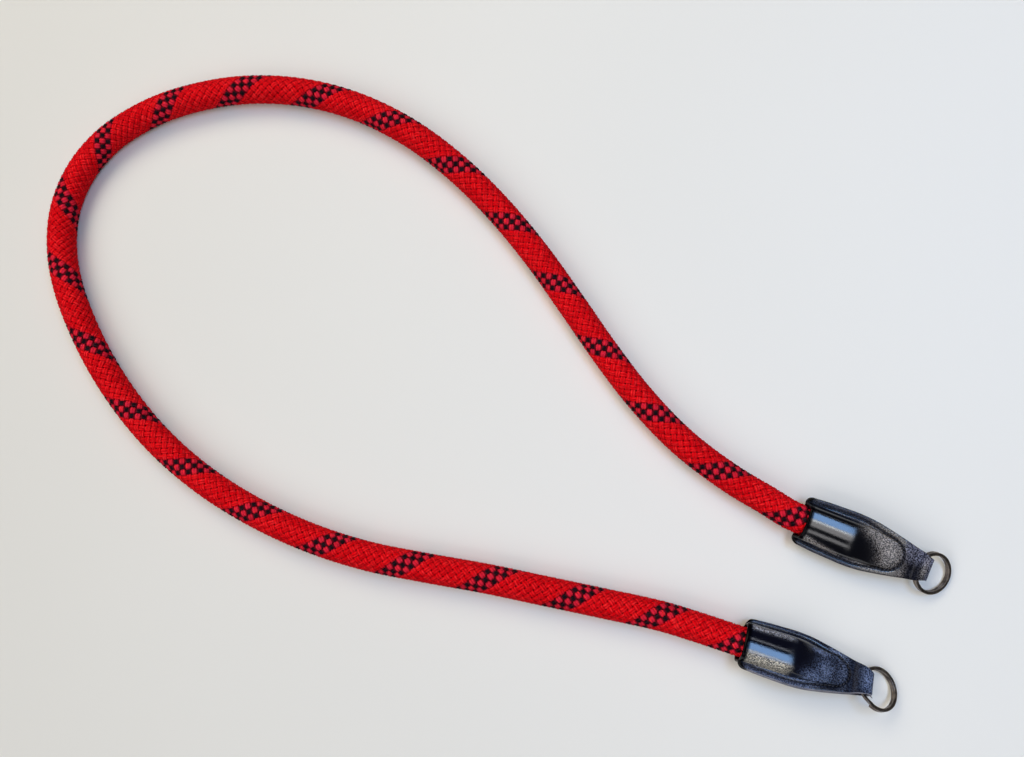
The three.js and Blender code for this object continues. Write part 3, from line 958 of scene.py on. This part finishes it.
def fibre_group():
    """Fibres of a yarn, from its surface map, where one unit along is a crossing and across is a yarn.

    The height is a wave with two crests across the yarn, its two ends, plus fine lines along it; the
    grooves are the wave's troughs. A yarn dives as it leaves the top of a crossing.
    """
    made, given, result = new_group(
        "yarn_fibre", {"Fleck size": 2.6, "Dive start": 0.13},
        ("Height", "Groove", "Fleck", "Dive", "Crossing tone"))
    parts = made.node("ShaderNodeSeparateXYZ", {"Vector": made.flat()})
    along, across = parts.outputs["X"], parts.outputs["Y"]

    def at(x, y):
        return made.node("ShaderNodeCombineXYZ", {"X": x, "Y": y}).outputs[0]

    share = made.math("FRACT", across)
    wave = made.math("COSINE", made.times_plus(share, 8 * math.pi, -2 * math.pi))
    stretched = at(made.times(along, 3.0), made.times(across, 60.0))
    lines = made.noise(stretched, 1.0, 2.0)
    fleck = made.noise(at(along, made.times(across, 3.2)), given["Fleck size"], 1.0)
    crossing = at(made.math("FLOOR", along), made.math("FLOOR", across))
    tone = made.node("ShaderNodeTexWhiteNoise", {"Vector": crossing}, noise_dimensions="2D")
    from_top = made.math("ABSOLUTE", made.math("SUBTRACT", made.math("FRACT", along), 0.5))
    dive_end = made.math("ADD", given["Dive start"], 0.13)
    made.fill(result, {
        "Height": made.times_plus(wave, 0.5, made.times(lines, 0.5)),
        "Groove": made.spread(wave, 0.2, -0.9),
        "Fleck": made.spread(fleck, 0.46, 0.62),
        "Dive": made.spread(from_top, given["Dive start"], dive_end),
        "Crossing tone": tone.outputs["Value"],
    })
    return made.tree


def new_finish(name):
    """Material with only its Principled shader and output: it, its helper and the shader's sockets."""
    material = bpy.data.materials.new(name)
    material.use_nodes = True
    return material, Finish(material.node_tree), material.node_tree.nodes["Principled BSDF"].inputs


def screen_colours(look):
    """Colours of a yarn or leather by the same names, as linear ones."""
    return {key: colour(*value) for key, value in look.items() if isinstance(value, tuple)}


def yarn_finish(name, fibre):
    """Matt yarn: plain colour, painted highlights on flecks, painted shade in grooves, dives and at its
    rim.
    """
    look = YARNS[name]
    tint = screen_colours(look)
    material, made, shader = new_finish(name)
    fibres = made.group(fibre, **{"Dive start": look["dive_start"]})
    over = made.mask("over_tracer")
    own_tone = made.times(made.mask("yarn_tone"), 0.3)
    pick = made.times_plus(fibres["Crossing tone"], 0.7, own_tone)
    base = made.mix(made.times(over, 0.7), tint["plain"], tint["beside"])
    base = made.mix(made.spread(pick, 0.1, 0.6, 0.35, 0.0), base, tint["deep"])
    # Painted highlight: the flecks are mixed towards a paler coral colour, more on the paler crossings
    light = made.times(fibres["Fleck"], made.spread(pick, 0.1, 0.9, 0.35, 0.9))
    base = made.mix(light, base, tint["fleck_highlight"])
    # Painted shade: the grooves between a yarn's two lobes are darkened, less where a red yarn crosses the
    # tracer
    groove = made.times(fibres["Groove"], made.spread(over, 0.0, 1.0, 0.55, 0.3))
    base = made.mix(groove, base, tint["deep"])
    # Painted shade where a yarn dives under another, stronger where a red yarn crosses the tracer; the
    # black yarn's ends turn red there instead, as if covered by the yarns beside it
    dive_shade = made.spread(over, 0.0, 1.0, look["dive_shade"], 0.95)
    base = made.mix(made.times(fibres["Dive"], dive_shade), base, tint["under"])
    # Painted shade at a grazing view: the red yarn darkens to crimson at its rim, the black one takes a
    # crimson fringe
    edge = made.node("ShaderNodeLayerWeight", {"Blend": 0.35}).outputs["Facing"]
    made.fill(shader, {
        "Base Color": made.mix(made.spread(edge, 0.35, 0.95, 0.0, 0.75), base, tint["rim"]),
        "Normal": made.bump(fibres["Height"], 0.5, 0.00025),
        "Roughness": 0.75,
        "Specular IOR Level": 0.05,
    })
    return material


def leather_finish(look, grain):
    """Glossy leather: near black, paler and matt where worn and painted lit, dull at border and raw side.
    """
    tint = screen_colours(look)
    material, made, shader = new_finish(look["name"])
    grains = made.group(grain)
    scuff_and_painted_light, cut, groove, rim = (
        made.mask(key) for key in ("scuff_and_painted_light", "cut_edge", "seam_groove", "shaded_mouth_rim"))
    high = made.spread(grains["Speckle"], 0.455, 0.56)
    uncreased = made.math("SUBTRACT", 1.0, made.times(grains["Crease"], 0.6))
    # Pale tone of wear and of painted reflection and painted light, speckled by the grain and kept out of
    # creases
    pale_wear_and_painted_light = made.times(made.times(scuff_and_painted_light, made.times_plus(high, 0.92, 0.08)), uncreased)
    # Painted shade: no pale tone in the seam groove
    pale_wear_and_painted_light = made.times(pale_wear_and_painted_light, made.math("SUBTRACT", 1.0, groove), clamp=True)
    dust = made.times(made.mask("dusty"), made.times_plus(high, 0.45, 0.05))
    base = made.mix(dust, tint["black"], tint["dusty"])
    base = made.mix(pale_wear_and_painted_light, base, made.mix(made.mask("warm_wear_and_painted_light"), tint["cool_wear_and_painted_light"], tint["warm_wear_and_painted_light"]))
    # Cut edge in its raw colour, mottled; the lower tab's pale edge is also a painted reflection of its
    # rounded edge
    bare = made.times(cut, made.spread(grains["Mottle"], 0.35, 0.65, 0.4, 0.9))
    base = made.mix(bare, base, tint["edge"])
    # Painted shade: the seam groove and the mouth rim are darkened to near black
    dark = made.larger(made.times(groove, 0.9), rim)
    base = made.mix(dark, base, colour(3, 3, 6))
    rough = made.spread(grains["Mottle"], 0.3, 0.7, 0.06, 0.1)
    rough = made.times_plus(made.mask("smoky"), 0.14, rough)
    rough = made.times_plus(scuff_and_painted_light, 0.35, rough)
    raw = made.larger(made.times(cut, 0.5), made.mask("raw_side"))
    rough = made.times_plus(raw, 0.4, rough)
    dull = made.larger(made.larger(made.larger(cut, rim), groove), made.mask("dull"))
    deep = made.times(grains["Height"], made.times_plus(scuff_and_painted_light, 0.6, 0.06))
    deep = made.times_plus(grains["Speckle"], 0.25, deep)
    made.fill(shader, {
        "Base Color": base,
        "Roughness": rough,
        "Specular IOR Level": made.spread(dull, 0.0, 0.6, 0.5, 0.06),
        "Normal": made.bump(deep, 0.6, 0.0001),
        "IOR": 1.52,
    })
    return material


def thread_finish():
    """Waxed black thread with fine paler lines, fibres with painted glints on them, and small glints of
    its gloss.
    """
    material, made, shader = new_finish("seam_thread")
    lines = made.noise(made.place(), 2500.0, 2.0)
    made.fill(shader, {
        "Base Color": made.mix(made.spread(lines, 0.35, 0.65), colour(12, 12, 18), colour(70, 72, 84)),
        "Roughness": made.spread(lines, 0.3, 0.7, 0.4, 0.6),
        "Specular IOR Level": 0.2,
    })
    return material


def metal_finish():
    """Dark plated steel: brown-grey, with drawn lines round the wire and paler rubbed patches."""
    material, made, shader = new_finish("dark_plated_steel")
    stretch = made.node("ShaderNodeMapping", {"Vector": made.flat(), "Scale": (1.2, 28.0, 1.0)})
    lines = made.noise(stretch.outputs[0], 3.0, 3.0)
    patches = made.spread(made.noise(made.place(), 420.0, 3.0), 0.35, 0.7)
    made.fill(shader, {
        "Base Color": made.mix(patches, colour(84, 76, 71), colour(148, 136, 126)),
        "Roughness": made.spread(lines, 0.3, 0.7, 0.24, 0.44),
        "Normal": made.bump(lines, 0.2, 0.00004),
        "Metallic": 1.0,
    })
    return material


def core_finish():
    """Deep red filler seen between the yarns, dark as painted shade in the gaps."""
    material, made, shader = new_finish("rope_core_shade_red")
    share = made.spread(made.noise(made.place(), 900.0, 2.0), 0.35, 0.65)
    made.fill(shader, {
        "Base Color": made.mix(share, colour(70, 4, 12), colour(120, 10, 22)),
        "Roughness": 0.85,
    })
    return material


# Table, light and room


def seen_directly(made):
    """1 where the camera looks straight at a surface or the backdrop, 0 in reflections and bounces."""
    return made.node("ShaderNodeLightPath").outputs["Is Camera Ray"]


def add_table():
    """Plain pale table top, a flat sheet far wider than the view, that fades into the backdrop."""
    mesh = bpy.data.meshes.new("table_top")
    corners = [(TABLE_REACH * x, TABLE_REACH * y, 0) for x, y in ((-1, -1), (1, -1), (1, 1), (-1, 1))]
    mesh.from_pydata(corners, [], [(0, 1, 2, 3)])
    table = bpy.data.objects.new("table_top", mesh)
    bpy.context.collection.objects.link(table)
    material, made, shader = new_finish("pale_table")
    place = made.place()
    across = made.node("ShaderNodeSeparateXYZ", {"Vector": place}).outputs["X"]
    # Painted light falloff: the table is darker on the left and lighter on the right, with a little random
    # tone
    tone = made.times_plus(made.noise(place, 5.0, 1.0), 0.1, across)
    far = made.node("ShaderNodeVectorMath", {0: place}, operation="LENGTH").outputs["Value"]
    haze = made.spread(far, *TABLE_FADE, 0.0, BACKDROP)
    made.fill(shader, {
        "Base Color": made.mix(
            made.spread(tone, *PAINTED_LIGHT_FALLOFF), colour(220, 218, 212), colour(241, 239, 233)),
        "Emission Strength": made.times(haze, seen_directly(made)),
        "Emission Color": ROOM_TINT,
        "Roughness": 0.6,
    })
    mesh.materials.append(material)


def add_lamp(name, place, face, bearing, size, brightness, tint):
    """Flat rectangular lamp; its power is pi times its brightness and its area."""
    data = bpy.data.lights.new(name, "AREA")
    data.shape = "RECTANGLE"
    data.size, data.size_y = size
    data.energy = math.pi * brightness * size[0] * size[1]
    data.color = tint
    lamp = bpy.data.objects.new(name, data)
    bpy.context.collection.objects.link(lamp)
    back = unit(np.array(place, dtype=float) - np.array(face))
    side = np.array([math.cos(math.radians(bearing)), math.sin(math.radians(bearing)), 0.0])
    side = unit(side - back * (side @ back))
    turn = Matrix((side, np.cross(back, side), back)).transposed()
    lamp.matrix_world = Matrix.Translation([MM * v for v in place]) @ turn.to_4x4()


def add_room():
    """Even soft light from all round, with a pale backdrop where the camera looks past the table."""
    world = bpy.data.worlds.new("room")
    world.use_nodes = True
    made = Finish(world.node_tree)
    made.fill(world.node_tree.nodes["Background"].inputs, {
        "Color": ROOM_TINT,
        "Strength": made.times_plus(seen_directly(made), BACKDROP - ROOM_STRENGTH, ROOM_STRENGTH),
    })
    bpy.context.scene.world = world


# The strap

add_camera()
bpy.context.scene.view_settings.view_transform = "Standard"

line, along = rope_line(YARN_STEP)
up, side = rope_axes(line)
strands = (line, along, up, side, braid_phase(line, along, up, side))

fibre = fibre_group()
red_yarn = yarn_finish("red_yarn", fibre)
black_yarn = yarn_finish("black_yarn", fibre)

core_line, core_along = rope_line(CORE_STEP)
core = rope_core(core_finish(), core_line, core_along)
numbers = range(YARNS_EACH_WAY)
others = [number for number in numbers if number not in TRACER_YARNS]
yarns = [
    yarn_piece("rope_yarns_red_left_a", others[:4], 1, YARN_WIDTH, red_yarn, strands),
    yarn_piece("rope_yarns_red_left_b", others[4:], 1, YARN_WIDTH, red_yarn, strands),
    yarn_piece("rope_yarns_tracer", TRACER_YARNS, 1, TRACER_WIDTH, black_yarn, strands),
    yarn_piece("rope_yarns_red_right_a", numbers[:HALF_THE_YARNS], -1, YARN_WIDTH, red_yarn, strands),
    yarn_piece("rope_yarns_red_right_b", numbers[HALF_THE_YARNS:], -1, YARN_WIDTH, red_yarn, strands),
]
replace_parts(core, "rope")

grain = grain_group()
thread = thread_finish()
metal = metal_finish()
for tab_name in TABS:
    leather = leather_finish(LEATHERS[tab_name], grain)
    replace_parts(tab_piece(tab_name, leather), f"tab_{tab_name}")
    stitches(tab_name, thread)
    thread_tail(tab_name, thread)
    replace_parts(ring_piece(tab_name, metal), f"ring_{tab_name}")

add_table()
add_room()
for lamp in LAMPS:
    add_lamp(**lamp)
